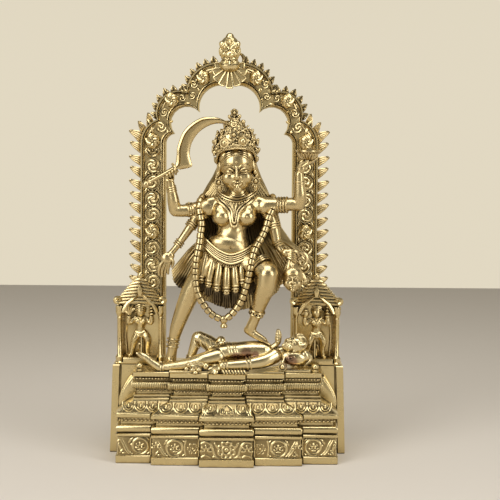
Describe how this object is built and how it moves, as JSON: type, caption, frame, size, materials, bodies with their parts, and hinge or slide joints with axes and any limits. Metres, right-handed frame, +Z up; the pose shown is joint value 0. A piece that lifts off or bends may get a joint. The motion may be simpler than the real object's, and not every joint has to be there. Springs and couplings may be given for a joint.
{
  "type": "kali figure",
  "caption": "Cast brass shrine statue: a many-armed goddess with sword, bowl and garland stands on a reclining figure, under a flame-edged arch on a stepped plinth with small shrines",
  "frame": {"origin": "on the floor under the middle of the plinth's bounding box", "axes": "+Z up, front of the statue towards -Y, the viewer's right is +X"},
  "size_m": [0.244, 0.108, 0.4329],
  "materials": {
    "brass": "polished cast brass, worn bright on the high places, brown-black patina in the carving"
  },
  "bodies": {
    "root": {"plinth": "brass", "flaming_arch": "brass", "kali_figure": "brass", "shiva_figure": "brass"}
  },
  "joints": []
}
